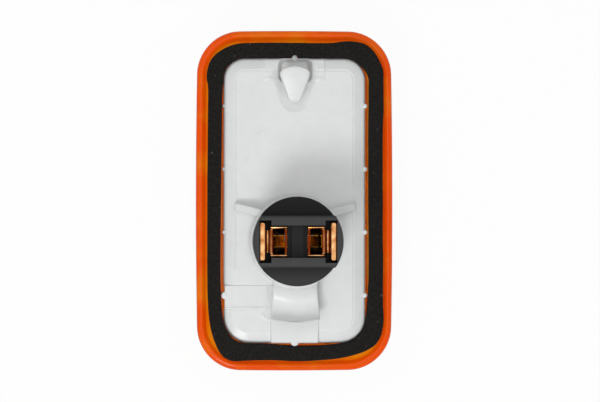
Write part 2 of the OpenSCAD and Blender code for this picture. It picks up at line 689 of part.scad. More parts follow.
module bulb_glass() {
    color([0.95, 0.97, 1, 0.35]) translate([0, holder_y, 0]) difference() {
        union() {
            envelope(0);
            translate([-wedge_w / 2, -wedge_t / 2, wedge_z - 0.8])
                cube([wedge_w, wedge_t, wedge_l + 0.8 - lead_d - 0.02]);
        }
        envelope(glass_t);
        lead_wire(-1, 0.02);
        lead_wire(1, 0.02);
    }
}

module bulb_lead_left() {
    color([0.75, 0.72, 0.68]) translate([0, holder_y, 0]) lead_wire(-1, 0);
}

module bulb_lead_right() {
    color([0.75, 0.72, 0.68]) translate([0, holder_y, 0]) lead_wire(1, 0);
}

module bulb_filament() {
    coil_l = 2 * lead_x - lead_d - 0.04;
    color([0.4, 0.4, 0.42]) translate([0, holder_y, bulb_tip_z + filament_up])
        rotate([0, 90, 0]) cylinder(r = 0.3, h = coil_l, center = true, $fn = 24);
}

lens();
housing();
foam_seal();
bulb_holder();
holder_gasket();
contact_left();
contact_right();
bulb_glass();
bulb_lead_left();
bulb_lead_right();
bulb_filament();
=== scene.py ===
import bmesh
import bpy
import numpy as np
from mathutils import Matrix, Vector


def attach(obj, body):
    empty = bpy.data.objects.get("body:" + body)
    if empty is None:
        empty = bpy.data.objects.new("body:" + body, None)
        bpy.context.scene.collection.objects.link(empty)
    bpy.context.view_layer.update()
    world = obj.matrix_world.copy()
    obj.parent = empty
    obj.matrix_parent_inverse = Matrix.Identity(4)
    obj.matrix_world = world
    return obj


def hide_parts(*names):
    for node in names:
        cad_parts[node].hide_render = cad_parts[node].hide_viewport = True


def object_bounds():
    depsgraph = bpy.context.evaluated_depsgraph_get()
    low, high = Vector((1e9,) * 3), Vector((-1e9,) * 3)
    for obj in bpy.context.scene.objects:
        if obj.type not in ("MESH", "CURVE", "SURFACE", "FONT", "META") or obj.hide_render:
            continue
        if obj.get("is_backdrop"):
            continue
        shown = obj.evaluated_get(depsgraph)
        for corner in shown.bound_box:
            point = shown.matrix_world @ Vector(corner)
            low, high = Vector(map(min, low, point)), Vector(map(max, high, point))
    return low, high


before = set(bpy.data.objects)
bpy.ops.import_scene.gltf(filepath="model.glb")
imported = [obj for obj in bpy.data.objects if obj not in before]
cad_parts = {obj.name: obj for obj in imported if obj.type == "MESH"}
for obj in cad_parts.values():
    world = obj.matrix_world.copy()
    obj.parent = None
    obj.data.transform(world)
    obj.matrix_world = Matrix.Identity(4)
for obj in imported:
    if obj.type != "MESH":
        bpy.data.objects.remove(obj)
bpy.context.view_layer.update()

# Lens: one amber acrylic moulding with a domed front, a flange, a rear lip round the seal shelf, and a
# mouth that the housing is welded into. Flutes inside the front spread the light along the car.
MM = 0.001
lens_w, lens_l, lens_r = 39.4, 68.0, 8.4
side_bow, end_bow = 0.4, 0.25
flange_z, shelf_z, ledge_z, lip_z = 10.4, 12.6, 10.2, 13.5
lip_w, mouth_in, chamber_in = 1.8, 4.85, 6.35
front_t, edge_r, flat_in, corner_fall = 2.2, 4.5, 8.7, 0.55
flute_pitch, flute_h, flute_rows = 4.0, 0.6, 26


def linear(code):
    """A colour of six hex digits as linear light: each byte c/255 becomes ((c + 0.055) / 1.055) ** 2.4."""
    c = np.array([int(code[i:i + 2], 16) for i in (0, 2, 4)]) / 255
    return (*np.where(c <= 0.04045, c / 12.92, ((c + 0.055) / 1.055) ** 2.4), 1.0)


def outline_template(corner_steps, end_steps, side_steps):
    """A rounded rectangle in four rows: share of the straight half sides in x and y, and direction of the
    corner arc in x and y. A point lies at (half - radius) * share + radius * direction."""
    parts = []
    for k, (sx, sy) in enumerate([(1, 1), (-1, 1), (-1, -1), (1, -1)]):
        t = np.pi / 2 * (k + np.linspace(0, 1, corner_steps + 1))
        parts.append(np.stack([0 * t + sx, 0 * t + sy, np.cos(t), np.sin(t)]))
        steps, next_x, next_y = (end_steps, -sx, sy) if k % 2 == 0 else (side_steps, sx, -sy)
        s = np.arange(1, steps) / steps
        parts.append(np.stack([sx + (next_x - sx) * s, sy + (next_y - sy) * s,
                               0 * s + np.cos(t[-1]), 0 * s + np.sin(t[-1])]))
    return np.concatenate(parts, axis=1)


def rounded_ring(template, half_x, half_y, radius):
    """Rings of that outline, one row for each half size and radius:
    (half - radius) * share + radius * direction."""
    half_x, half_y, radius = (np.asarray(v, float)[..., None] for v in (half_x, half_y, radius))
    return ((half_x - radius) * template[0] + radius * template[2],
            (half_y - radius) * template[1] + radius * template[3])


def grid_faces(rows, cols, round_rows=False, round_cols=True):
    """Four-sided faces of a grid of points numbered row by row, closed on itself where told."""
    i = np.arange(rows if round_rows else rows - 1)[:, None]
    j = np.arange(cols if round_cols else cols - 1)[None, :]
    i2, j2 = (i + 1) % rows, (j + 1) % cols
    return np.stack([i * cols + j, i * cols + j2, i2 * cols + j2, i2 * cols + j], -1).reshape(-1, 4)


def make_piece(name, points, faces, material, body, node, crease=40):
    """A piece from an array of points in millimetres and its faces: doubles merged, so that collapsed rings
    close, faces turned outwards, and edges sharper than the crease angle kept sharp."""
    mesh = bpy.data.meshes.new(name)
    mesh.from_pydata((points.reshape(-1, 3) * MM).tolist(), [], faces.tolist())
    shape = bmesh.new()
    shape.from_mesh(mesh)
    bmesh.ops.remove_doubles(shape, verts=shape.verts, dist=2e-7)
    bmesh.ops.dissolve_degenerate(shape, edges=shape.edges, dist=1e-8)
    bmesh.ops.recalc_face_normals(shape, faces=shape.faces)
    shape.to_mesh(mesh)
    shape.free()
    mesh.shade_smooth()
    mesh.set_sharp_from_angle(angle=np.radians(crease))
    mesh.materials.append(material)
    piece = bpy.data.objects.new(name, mesh)
    bpy.context.scene.collection.objects.link(piece)
    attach(piece, body)
    if node:
        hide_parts(node)
    return piece


def box_distance(x, y, x0, x1, y0, y1, r):
    """Distance from a rounded rectangle, negative inside: what lies beyond its straight part, less the
    radius."""
    qx = np.abs(x - (x0 + x1) / 2) - (x1 - x0) / 2 + r
    qy = np.abs(y - (y0 + y1) / 2) - (y1 - y0) / 2 + r
    return np.hypot(np.maximum(qx, 0), np.maximum(qy, 0)) + np.minimum(np.maximum(qx, qy), 0) - r


def new_material(name):
    """A node material, with its tree and main shader."""
    material = bpy.data.materials.new(name)
    material.use_nodes = True
    return material, material.node_tree, material.node_tree.nodes["Principled BSDF"]


def give(tree, node, **inputs):
    """Sets a node's inputs, each to a value or joined to a socket. An underscore in a name is a space."""
    for name, value in inputs.items():
        socket = node.inputs[name.replace("_", " ")]
        if isinstance(value, bpy.types.NodeSocket):
            tree.links.new(value, socket)
        else:
            socket.default_value = value
    return node


def add_node(tree, kind, **inputs):
    """A shader node of that kind with its inputs set."""
    return give(tree, tree.nodes.new("ShaderNode" + kind), **inputs)


def noise(tree, place, scale, detail=2.0):
    """A noise from 0 to 1 over the surface, with that many waves a metre."""
    return add_node(tree, "TexNoise", Vector=place, Scale=scale, Detail=detail).outputs["Fac"]


def graded(tree, value, start, end, low=0.0, high=1.0):
    """A value that goes from low to high while another goes from start to end, and stays level beyond."""
    return add_node(tree, "MapRange", Value=value, From_Min=start, From_Max=end, To_Min=low,
                    To_Max=high).outputs["Result"]


def calculated(tree, operation, first, second=0.0):
    """The result of an operation on a socket and, where it takes two, another socket or a number."""
    node = tree.nodes.new("ShaderNodeMath")
    node.operation = operation
    tree.links.new(first, node.inputs[0])
    if isinstance(second, bpy.types.NodeSocket):
        tree.links.new(second, node.inputs[1])
    else:
        node.inputs[1].default_value = second
    return node.outputs["Value"]


def colour_ramp(tree, value, *stops):
    """The colour that a value from 0 to 1 gives between stops of place and six hex digits."""
    ramp = add_node(tree, "ValToRGB", Fac=value)
    elements = ramp.color_ramp.elements
    elements.remove(elements[1])
    elements[0].position = stops[0][0]
    elements[0].color = linear(stops[0][1])
    for place, code in stops[1:]:
        elements.new(place).color = linear(code)
    return ramp.outputs["Color"]


# Profile of the lens as inset and height, from the middle of the front, round the rim, to the mouth
quarter = np.linspace(0, np.pi / 2, 13)
front_rows = np.stack([np.linspace(lens_w / 2, flat_in + 0.4, 8), np.zeros(8)], 1)
edge_rows = np.stack([flat_in - edge_r * np.sin(quarter), edge_r * (1 - np.cos(quarter))], 1)
rim_rows = np.array([
    [3.65, flange_z - 0.8], [3.55, flange_z - 0.35], [3.35, flange_z - 0.1], [3.1, flange_z],
    [0.5, flange_z], [0.28, flange_z + 0.04], [0.1, flange_z + 0.2], [0, flange_z + 0.5],
    [0, lip_z - 1], [0.06, lip_z - 0.66], [0.2, lip_z - 0.38], [0.42, lip_z - 0.17], [0.68, lip_z - 0.04],
    [0.95, lip_z], [1.2, lip_z - 0.05], [1.42, lip_z - 0.2], [1.6, lip_z - 0.42], [1.75, lip_z - 0.65],
    [1.9, shelf_z + 0.08], [2.1, shelf_z], [4.6, shelf_z], [4.8, shelf_z - 0.08],
    [mouth_in + 0.01, shelf_z - 0.25], [mouth_in + 0.05, ledge_z], [chamber_in - 0.05, ledge_z],
    [chamber_in + 0.01, ledge_z - 0.1]])
inner_r = edge_r - front_t
chamber_lean = chamber_in + 0.2 - (flat_in - inner_r)
inner_rows = np.stack([flat_in - inner_r * np.cos(quarter) + chamber_lean * (1 - quarter / quarter[-1]),
                       edge_r - inner_r * np.sin(quarter)], 1)
fluted_rows = np.stack([np.linspace(flat_in + 0.25, lens_w / 2, flute_rows), np.full(flute_rows, front_t)], 1)
lens_rows = np.concatenate([front_rows, edge_rows, rim_rows, inner_rows, fluted_rows])
inset = lens_rows[:, 0]
fade = np.clip(1 - inset / mouth_in, 0, 1)
half_x = lens_w / 2 - inset - fade * side_bow
half_y = lens_l / 2 - inset - fade * end_bow
lens_outline = outline_template(14, 44, 140)
corner_r = np.clip(lens_r - corner_fall * inset, 0, np.maximum(half_x, 0))
x, y = rounded_ring(lens_outline, half_x, half_y, corner_r)
bow_x = 1 + (fade * side_bow / np.maximum(half_x, 1))[:, None] * (1 - (y / half_y[:, None]) ** 2)
bow_y = 1 + (fade * end_bow / half_y)[:, None] * (1 - (x / np.maximum(half_x, 1)[:, None]) ** 2)
x, y = x * bow_x, y * bow_y
z = np.repeat(lens_rows[:, 1:], x.shape[1], 1)
flute = 1 - ((y + flute_pitch / 2) % flute_pitch / (flute_pitch / 2) - 1) ** 2
fluted = np.zeros(len(lens_rows))
fluted[-flute_rows:] = np.clip(np.linspace(0, 6, flute_rows), 0, 1)
z += fluted[:, None] * flute_h * flute * (np.abs(y) < lens_l / 2 - flat_in)
points = np.stack([x, y, z], -1)

# Painted light: the lens's base colour stands in for the light that comes through it, deep orange at the lip
# and the flange, yellow on the open shelf and palest in the mouth, with soft lighter patches of painted glow
amber, tree, shader = new_material("amber_lens")
depth = tree.nodes.new("ShaderNodeAttribute")
depth.attribute_name = "depth"
place = add_node(tree, "TexCoord").outputs["Object"]
# Painted glow: soft lighter patches taken off the depth, so the colour turns paler there
glow = graded(tree, noise(tree, place, 110), 0.5, 0.72, high=0.34)
painted_glow_tint = calculated(tree, "SUBTRACT", depth.outputs["Fac"], glow)
colour = colour_ramp(tree, painted_glow_tint, (0, "FFC060"), (0.5, "FFA010"), (1, "FF5E00"))
give(tree, shader, Base_Color=colour, Roughness=0.12, IOR=1.35, Specular_IOR_Level=0.06,
     Transmission_Weight=0.6)
absorb = add_node(tree, "VolumeAbsorption", Color=(0.997, 0.93, 0.5, 1), Density=1200)
give(tree, tree.nodes["Material Output"], Volume=absorb.outputs["Volume"])

# The depth is 1 at the rim, 0.5 on the shelf and the front, and 0 in the mouth; it places the painted light
# colours
lens = make_piece("lens_moulding", points, grid_faces(*x.shape), amber, "lamp", "lens",
                  crease=50)
co = np.empty(len(lens.data.vertices) * 3, np.float32)
lens.data.vertices.foreach_get("co", co)
co = co.reshape(-1, 3) / MM
edge_in = -box_distance(co[:, 0], co[:, 1], -lens_w / 2, lens_w / 2, -lens_l / 2, lens_l / 2, lens_r)
rim_low_z, rim_end, mouth_start, blend_w = 9.5, 2.5, 4.3, 0.5
above = np.clip(co[:, 2] - rim_low_z, 0, 1)
rim_share = np.clip((rim_end - edge_in) / blend_w, 0, 1)
mouth_share = np.clip((edge_in - mouth_start) / blend_w, 0, 1)
painted_glow_levels = (0.5 + 0.5 * above * (rim_share - mouth_share)).astype(np.float32)
lens.data.attributes.new("depth", "FLOAT", "POINT").data.foreach_set("value", painted_glow_levels)

# Foam seal: a strip of black closed-cell foam with an adhesive back, bent round the shelf by hand, so that
# it wanders between the lip and the housing. It is squeezed against the car's panel when the lamp is fitted.
seal_t, seal_edge_r, lip_gap, rib_gap = 2.9, 0.35, 0.15, 0.04
bulge, sag, bulge_end = 0.035, 0.02, 0.8
# Each knot of its middle line: side in x and y, distance in from the lens's side and end, and the width there
seal_knots = np.array([
    [-1, 1, 3.65, 33.86, 2.7], [-1, 1, 3.8, 18.02, 2.8], [-1, 1, 3.9, 11.7, 2.9], [-1, 1, 4.05, 9.1, 3.8],
    [-1, 1, 4.95, 6.55, 3.8], [-1, 1, 8, 4.5, 3.3], [-1, 1, 12.7, 4.05, 3.05],
    [1, 1, 19.2, 4.05, 3.05], [1, 1, 12.8, 4.1, 3.05], [1, 1, 8.85, 4, 3.6], [1, 1, 5.8, 5, 3.9],
    [1, 1, 3.5, 8.5, 3.2], [1, 1, 3.3, 12.4, 3.1], [1, 1, 3.5, 20, 2.8], [1, 1, 3.5, 33.86, 2.8],
    [1, -1, 3.45, 20.3, 2.8], [1, -1, 3.6, 13.3, 3.1], [1, -1, 3.8, 9.7, 3.7], [1, -1, 5, 6.6, 3.9],
    [1, -1, 8.4, 4.55, 2.9], [1, -1, 12.6, 3.8, 2.95], [1, -1, 18.75, 3.5, 3.05],
    [-1, -1, 14.7, 3.8, 3.2], [-1, -1, 9.95, 3.85, 3.5], [-1, -1, 7.1, 4.25, 4.1], [-1, -1, 5.2, 6.7, 3.3],
    [-1, -1, 4, 10.8, 2.75], [-1, -1, 3.6, 18.3, 2.6]])
knots = np.stack([seal_knots[:, 0] * (lens_w / 2 - seal_knots[:, 2]),
                  seal_knots[:, 1] * (lens_l / 2 - seal_knots[:, 3]), seal_knots[:, 4]], 1)


def closed_spline(knots, steps):
    """A smooth closed line through the knots: each stretch is the cubic whose slope at a knot is half the
    step between the knots beside it."""
    a, b, c, d = (np.roll(knots, k, 0)[:, None] for k in (1, 0, -1, -2))
    t = (np.arange(steps) / steps)[None, :, None]
    return ((2 * b + (c - a) * t + (2 * a - 5 * b + 4 * c - d) * t ** 2
             + (3 * b - a - 3 * c + d) * t ** 3) / 2).reshape(-1, knots.shape[1])


def soft_noise(rows, cols, seed, reach):
    """Seeded random heights of about -1 to 1 on a grid closed on itself, each blurred over its neighbours
    by cutting its fast waves: the transform times exp(-20 * (reach * frequency) ** 2)."""
    wild = np.random.default_rng(seed).standard_normal((rows, cols))
    fy, fx = np.meshgrid(np.fft.fftfreq(rows), np.fft.fftfreq(cols), indexing="ij")
    calm = np.fft.ifft2(np.fft.fft2(wild) * np.exp(-(reach ** 2) * (fx ** 2 + fy ** 2) * 20)).real
    return calm / np.abs(calm).max()


seal_line = closed_spline(knots, 20)
ahead = np.roll(seal_line, -1, 0)[:, :2] - np.roll(seal_line, 1, 0)[:, :2]
ahead /= np.linalg.norm(ahead, axis=1)[:, None]
outwards = np.stack([-ahead[:, 1], ahead[:, 0]], 1)
seal_outline = outline_template(6, 12, 12)
wander = soft_noise(len(seal_line), seal_outline.shape[1], 3, 2.0)

# What the strip runs along: the tray's outline, and the centring ribs on it as x, y, radius and top
tray_w, tray_l, tray_r_hook, tray_r_latch = 28.3, 56.9, 4.3, 5.2
nub_in, nub_pitch = 0.1, 12.6
nubs = np.array([
    [-tray_w / 2 + 0.25, -1.5 * nub_pitch, 0.75, 15.0],
    *[[-tray_w / 2 + nub_in, k * nub_pitch, 0.4, 14.1] for k in (-0.5, 0.5, 1.5)],
    *[[tray_w / 2 - nub_in, k * nub_pitch, 0.5, 14.6] for k in (-1.5, -0.5, 0.5, 1.5)],
    [0, -tray_l / 2 + 0.25, 0.85, 15.1],
    [0, tray_l / 2 + 0.1, 0.6, 14.3]])


def free_of_housing(x, y):
    """How far a point lies outside the tray's outline and its centring ribs, less a small clearance."""
    corner_r = np.where(y > 0, tray_r_hook, tray_r_latch)
    tray = box_distance(x, y, -tray_w / 2, tray_w / 2, -tray_l / 2, tray_l / 2, corner_r)
    ribs = (np.hypot(x[:, None] - nubs[:, 0], y[:, None] - nubs[:, 1]) - nubs[:, 2]).min(1)
    return np.minimum(tray, ribs) - rib_gap


def free_of_lip(x, y):
    """How far a point lies inside the lip of the lens, less a small clearance."""
    return -box_distance(x, y, -lens_w / 2, lens_w / 2, -lens_l / 2, lens_l / 2, lens_r) - lip_w - lip_gap


# Both edges of the strip start at half its width from the route, and in four passes each is moved away from
# what it runs into, by what it lacks
inner, outer = -seal_line[:, 2] / 2, seal_line[:, 2] / 2
for squeeze in range(4):
    x, y = (seal_line[:, :2] + inner[:, None] * outwards).T
    inner = inner - np.minimum(free_of_housing(x, y), 0)
    x, y = (seal_line[:, :2] + outer[:, None] * outwards).T
    outer = outer + np.minimum(free_of_lip(x, y), 0)
half_t = np.full(len(seal_line), seal_t / 2)
corner_r = np.full(len(seal_line), seal_edge_r)
p, q = rounded_ring(seal_outline, (outer - inner) / 2, half_t, corner_r)
swell = 1 + bulge * wander * np.clip((q + seal_t / 2) / bulge_end, 0, 1)
p = p * swell + (outer + inner)[:, None] / 2
q = np.minimum(q * (1 - sag * (1 + wander)), seal_t / 2)
points = np.stack([seal_line[:, :1] + p * outwards[:, :1], seal_line[:, 1:2] + p * outwards[:, 1:],
                   shelf_z + seal_t / 2 + q], -1)


def mixed(tree, share, first, second):
    """A colour between two others."""
    mix = tree.nodes.new("ShaderNodeMix")
    mix.data_type = "RGBA"
    return give(tree, mix, Factor=share, A=first, B=second).outputs["Result"]


def bumped(tree, height, distance, strength=1.0):
    """The normal of a surface with that height over it, for a height of 1 at that distance in metres."""
    return add_node(tree, "Bump", Height=height, Distance=distance, Strength=strength).outputs["Normal"]


# Open pores and a fine grain, with a few grains of pale dust
foam, tree, shader = new_material("black_foam")
place = add_node(tree, "TexCoord").outputs["Object"]
pores = add_node(tree, "TexVoronoi", Vector=place, Scale=2400).outputs["Distance"]
grain = noise(tree, place, 2600, 4)
height = tree.nodes.new("ShaderNodeMath")
height.operation = "MULTIPLY_ADD"
height.inputs[1].default_value = 0.6
tree.links.new(graded(tree, pores, 0.12, 0.42), height.inputs[0])
tree.links.new(grain, height.inputs[2])
dust = graded(tree, noise(tree, place, 1300, 0), 0.78, 0.88, high=0.35)
tone = colour_ramp(tree, grain, (0.36, "100F0D"), (0.78, "262420"))
give(tree, shader, Base_Color=mixed(tree, dust, tone, linear("6C6A66")), Roughness=0.85,
     Specular_IOR_Level=0.2, Normal=bumped(tree, height.outputs["Value"], 0.00012, strength=0.9))
foam_strip = make_piece("foam_strip", points, grid_faces(*p.shape, round_rows=True), foam, "lamp",
                        "foam_seal", crease=60)

# Housing: one moulding in white plastic, welded into the lens. Its tray has a sloping border, pads under the
# hook and the latch, a lower corner with a block, and a pocket round the hook, all with rounded edges.
skirt_z, plate_z, back_z, skirt_t = 10.25, 13.4, 15.0, 1.5
border_w, border_fall, border_groove, round_r = 2.4, 0.8, 0.12, 0.55
pad_h, hook_pad_h, blob_h, blob_x = 0.2, 0.13, 0.2, 5.1
panel_edge, panel_end, panel_groove = -12.0, -13.7, 0.08
low_x, low_y, low_step, foot_r, foot_h = 4.75, -13.85, 0.16, 2.15, 0.22
block_y, block_l, block_out, block_groove, ridge_h, ridge_end = -21.7, 4.8, 0.2, 0.06, 0.13, -13.7
pocket_w, pocket_d, pocket_soft, pocket_ridge, recess_d, recess_soft = 0.95, 0.5, 1.9, 0.07, 2.6, 0.9
hook_root, hook_free, hook_w, hook_root_r, hook_side_r, hook_end_r = 19.25, 26.85, 6.0, 1.3, 1.1, 2.6
hook_side_x, hook_side_y = hook_w / 2 - hook_side_r, hook_free - 1.7
holder_y, tube_r, bore_r, neck_bore_r, tube_z, rim_z = -8.0, 8.95, 7.75, 7.0, 27.0, 24.8


def outline_distance(x, y, corners):
    """Distance from a convex outline, negative inside: the nearest edge, signed by the side of every edge."""
    start, end = corners, np.roll(corners, -1, 0)
    way = end - start
    px, py = x[..., None] - start[:, 0], y[..., None] - start[:, 1]
    along = np.clip((px * way[:, 0] + py * way[:, 1]) / (way ** 2).sum(1), 0, 1)
    near = np.hypot(px - along * way[:, 0], py - along * way[:, 1]).min(-1)
    within = (way[:, 0] * py - way[:, 1] * px > 0).all(-1)
    return np.where(within, -near, near)


def inside(distance, soft):
    """1 inside and 0 outside, along an S over that many millimetres: t * t * (3 - 2 * t)."""
    t = np.clip(0.5 - distance / soft, 0, 1)
    return t * t * (3 - 2 * t)


def raise_to(z, level, distance, soft=0.3):
    """The surface moved to the level where the distance is negative, along that S at its edge."""
    m = inside(distance, soft)
    return z * (1 - m) + level * m


def stretch(*spans):
    """Grid lines from spans of start, end and step."""
    lines = [np.linspace(a, b, max(2, int(round((b - a) / step)) + 1)) for a, b, step in spans]
    return np.unique(np.concatenate(lines).round(5))


def shell(top, bottom, keep):
    """A closed shell of two grids of points: the kept cells above and below, and a wall at every side of a
    kept cell that has no kept neighbour."""
    rows, cols = keep.shape
    number = np.arange((rows + 1) * (cols + 1)).reshape(rows + 1, cols + 1)
    a, b, c, d = number[:-1, :-1], number[:-1, 1:], number[1:, 1:], number[1:, :-1]
    under = number.size
    faces = [np.stack([a, b, c, d], -1)[keep], np.stack([a, d, c, b], -1)[keep] + under]
    around = np.pad(keep, 1)
    for p, q, beside in ((a, b, around[:-2, 1:-1]), (b, c, around[1:-1, 2:]),
                         (c, d, around[2:, 1:-1]), (d, a, around[1:-1, :-2])):
        edge = keep & ~beside
        faces.append(np.stack([p[edge] + under, q[edge] + under, q[edge], p[edge]], -1))
    faces = np.concatenate(faces)
    used = np.unique(faces)
    points = np.concatenate([top.reshape(-1, 3), bottom.reshape(-1, 3)])
    return points[used], np.searchsorted(used, faces)


def leaf_corners(grow):
    """The hook's outline from above: a small arc at its root, and two corners and a wide arc at its free
    end."""
    t = np.linspace(0, 1, 9)

    def arc(cx, cy, r, t0, t1):
        u = np.radians(t0 + (t1 - t0) * t)
        return np.stack([cx + (r + grow) * np.cos(u), cy + (r + grow) * np.sin(u)], 1)
    return np.concatenate([
        arc(0, hook_root + hook_root_r, hook_root_r, 200, 340),
        arc(hook_side_x, hook_side_y, hook_side_r, -15, 40),
        arc(0, hook_free - hook_end_r, hook_end_r, 52, 128),
        arc(-hook_side_x, hook_side_y, hook_side_r, 140, 195)])


# The grid is finer where a groove or a step runs across it: at the tray's side, along the border's inner line
# and the low floor's edges, at both ends of the block and round the hook
border_x, block_end, pocket_y = -tray_w / 2 + border_w, block_y + block_l, hook_root - 2.75
side = [(-tray_w / 2, border_x - 1.55, 0.12), (border_x - 1.55, border_x - 0.35, 0.3),
        (border_x - 0.35, border_x + 0.35, 0.08), (border_x + 0.35, -low_x - 1.55, 0.3),
        (-low_x - 1.55, -low_x - 0.45, 0.16), (-low_x - 0.45, -low_x + 0.45, 0.06)]
middle = (-low_x + 0.45, low_x - 0.45, 0.16)
columns = stretch(*side, middle, *[(-b, -a, step) for a, b, step in side]) / (tray_w / 2)
turn = np.linspace(0, np.pi / 2, 44)
straight = stretch((-tray_l / 2 + tray_r_latch, block_y - 0.5, 0.2), (block_y - 0.5, block_y + 0.5, 0.06),
                   (block_y + 0.5, block_end - 0.4, 0.25), (block_end - 0.4, block_end + 0.4, 0.06),
                   (block_end + 0.4, low_y - 0.35, 0.25), (low_y - 0.35, low_y + 0.35, 0.06),
                   (low_y + 0.35, pocket_y, 0.45), (pocket_y, tray_l / 2 - tray_r_hook, 0.15))
row_y = np.concatenate([-tray_l / 2 + tray_r_latch * (1 - np.sin(turn[:0:-1])), straight,
                        tray_l / 2 - tray_r_hook * (1 - np.sin(turn[1:]))])
half_w = np.concatenate([tray_w / 2 - tray_r_latch * (1 - np.cos(turn[:0:-1])),
                         np.full(len(straight), tray_w / 2),
                         tray_w / 2 - tray_r_hook * (1 - np.cos(turn[1:]))])
y = np.repeat(row_y[:, None], len(columns), 1)
x = half_w[:, None] * columns[None, :]
beside_block = np.abs(y - (block_y + block_end) / 2) - block_l / 2
x += block_out * inside(beside_block, 0.3) * inside(x + tray_w / 2 - 0.25, 0.4)

# Sloping border with a groove inside it, and a finer groove along the lower left of the plain panel
corner_r = np.where(y > 0, tray_r_hook, tray_r_latch)
in_from_edge = -box_distance(x, y, -tray_w / 2, tray_w / 2, -tray_l / 2, tray_l / 2, corner_r)
fall = border_fall * (1 - np.clip(in_from_edge / border_w, 0, 1))
z = back_z - fall
z -= border_groove * np.exp(-((in_from_edge - border_w - 0.05) / 0.1) ** 2)
panel = box_distance(x, y, panel_edge, 0, panel_end, 0, 0.2)
z -= panel_groove * np.exp(-(panel / 0.08) ** 2) * inside(np.maximum(x + 6.5, y + 4), 0.5)

# Lower left corner: a low floor, and a block on it with a ridge above, a groove below and a round foot
low = np.maximum(x + low_x, y - low_y)
z = raise_to(z, np.minimum(z, back_z - low_step), low, 0.2)
block = box_distance(x, y, -20, -low_x - 0.5, block_y, block_end, 0.2)
z = raise_to(z, back_z - 0.02, block, 0.2)
ridge = np.clip((y - block_y + 0.12) / 0.4, 0, 1) * np.exp(-(np.maximum(y - block_y - 0.28, 0) / 0.2) ** 2)
z += ridge_h * ridge * inside(x + low_x + 0.5, 0.4) * inside(ridge_end - x, 0.4)
z -= block_groove * np.exp(-((y - block_end - 0.1) / 0.09) ** 2) * inside(x + low_x, 0.3)
foot = np.hypot(x + low_x, y - block_y) - foot_r
z = raise_to(z, np.maximum(z, back_z - 0.04), np.maximum(foot, low), 0.3)
foot_side = np.maximum(x + low_x, y - block_y + 0.5)
z += foot_h * np.exp(-((foot + 0.25) / 0.16) ** 2) * inside(foot_side, 0.5)

# Pads under the latch strap and beside the hook, and the soft hollow and deep recess round the hook
latch_pad = box_distance(x, y, -low_x, low_x, -tray_l / 2 - 2, holder_y - tube_r, 0.2)
z = raise_to(z, back_z + pad_h, latch_pad, 0.26)
hook_pad = box_distance(x, y, -hook_w, hook_w, hook_free - 2.9, tray_l / 2 + 2, 0.4)
z = raise_to(z, z + hook_pad_h + 0.3 * fall, hook_pad, 0.24)
for s in (-1, 1):
    z += blob_h * np.exp(-(((x - s * blob_x) / 0.5) ** 2 + ((y - hook_free + 2.5) / 0.34) ** 2))
pocket = outline_distance(x, y, leaf_corners(pocket_w))
z = raise_to(z, np.minimum(z, back_z - pocket_d), pocket, pocket_soft)
z += pocket_ridge * np.exp(-((pocket - 0.8) / 0.2) ** 2) * inside(y - hook_root - 0.2 + 0.35 * x, 1.2)
recess = box_distance(x, y, -2.9, 3.2, hook_free - 3.0, tray_l / 2 - 0.25, 1.2)
z = raise_to(z, np.minimum(z, back_z - recess_d), recess, recess_soft)
round_edge = np.clip(1 - in_from_edge / round_r, 0, 1)
z -= round_r * (1 - np.sqrt(np.maximum(1 - round_edge ** 2, 0)))
under = np.minimum(skirt_z + (plate_z - skirt_z) * inside(skirt_t - in_from_edge, 0.25), z - 0.35)
middle_x = (x[1:, 1:] + x[:-1, :-1]) / 2
middle_y = (y[1:, 1:] + y[:-1, :-1]) / 2
hole_r = (tube_r + bore_r) / 2 + 0.05
keep = np.hypot(middle_x, middle_y - holder_y) > hole_r
points, faces = shell(np.stack([x, y, z], -1), np.stack([x, y, under], -1), keep)


def moulded_skin():
    """A node group for moulded plastic: a fine grain and long soft waves as height, and a mottle for tone and
    gloss."""
    group = bpy.data.node_groups.new("moulded_skin", "ShaderNodeTree")
    starts = (("Grain Scale", 6000.0), ("Wave Scale", 160.0), ("Wave Share", 0.6), ("Mottle Scale", 500.0))
    for name, start in starts:
        socket = group.interface.new_socket(name, in_out="INPUT", socket_type="NodeSocketFloat")
        socket.default_value = start
    for name in ("Height", "Mottle"):
        group.interface.new_socket(name, in_out="OUTPUT", socket_type="NodeSocketFloat")
    given, result = group.nodes.new("NodeGroupInput"), group.nodes.new("NodeGroupOutput")
    place = add_node(group, "TexCoord").outputs["Object"]
    grain = noise(group, place, given.outputs["Grain Scale"], 3)
    wave = noise(group, place, given.outputs["Wave Scale"], 1)
    mottle = noise(group, place, given.outputs["Mottle Scale"], 4)
    mix = add_node(group, "Mix", Factor=given.outputs["Wave Share"], A=grain, B=wave)
    give(group, result, Height=mix.outputs["Result"], Mottle=mottle)
    return group


skin = moulded_skin()


def moulded_plastic(name, dark, light, rough_low, rough_high, bump_depth, wave_share, specular=0.5):
    """Moulded plastic: its tone and gloss follow the skin's mottle between two ends, and its bump the skin's
    height."""
    material, tree, shader = new_material(name)
    surface = tree.nodes.new("ShaderNodeGroup")
    surface.node_tree = skin
    give(tree, surface, Wave_Share=wave_share)
    height, mottle = surface.outputs["Height"], surface.outputs["Mottle"]
    give(tree, shader, Base_Color=colour_ramp(tree, mottle, (0.3, dark), (0.7, light)),
         Roughness=graded(tree, mottle, 0.0, 1.0, low=rough_low, high=rough_high),
         Normal=bumped(tree, height, bump_depth), Specular_IOR_Level=specular)
    return material, tree, shader


white, tree, shader = moulded_plastic("white_plastic", "E3E5E4", "E7E9E8", rough_low=0.26, rough_high=0.31,
                                      bump_depth=0.000012, wave_share=0.8)
give(tree, shader, Subsurface_Weight=0.15, Subsurface_Radius=(1, 1, 1), Subsurface_Scale=0.0012)
make_piece("housing_tray", points, faces, white, "lamp", "housing", crease=50)

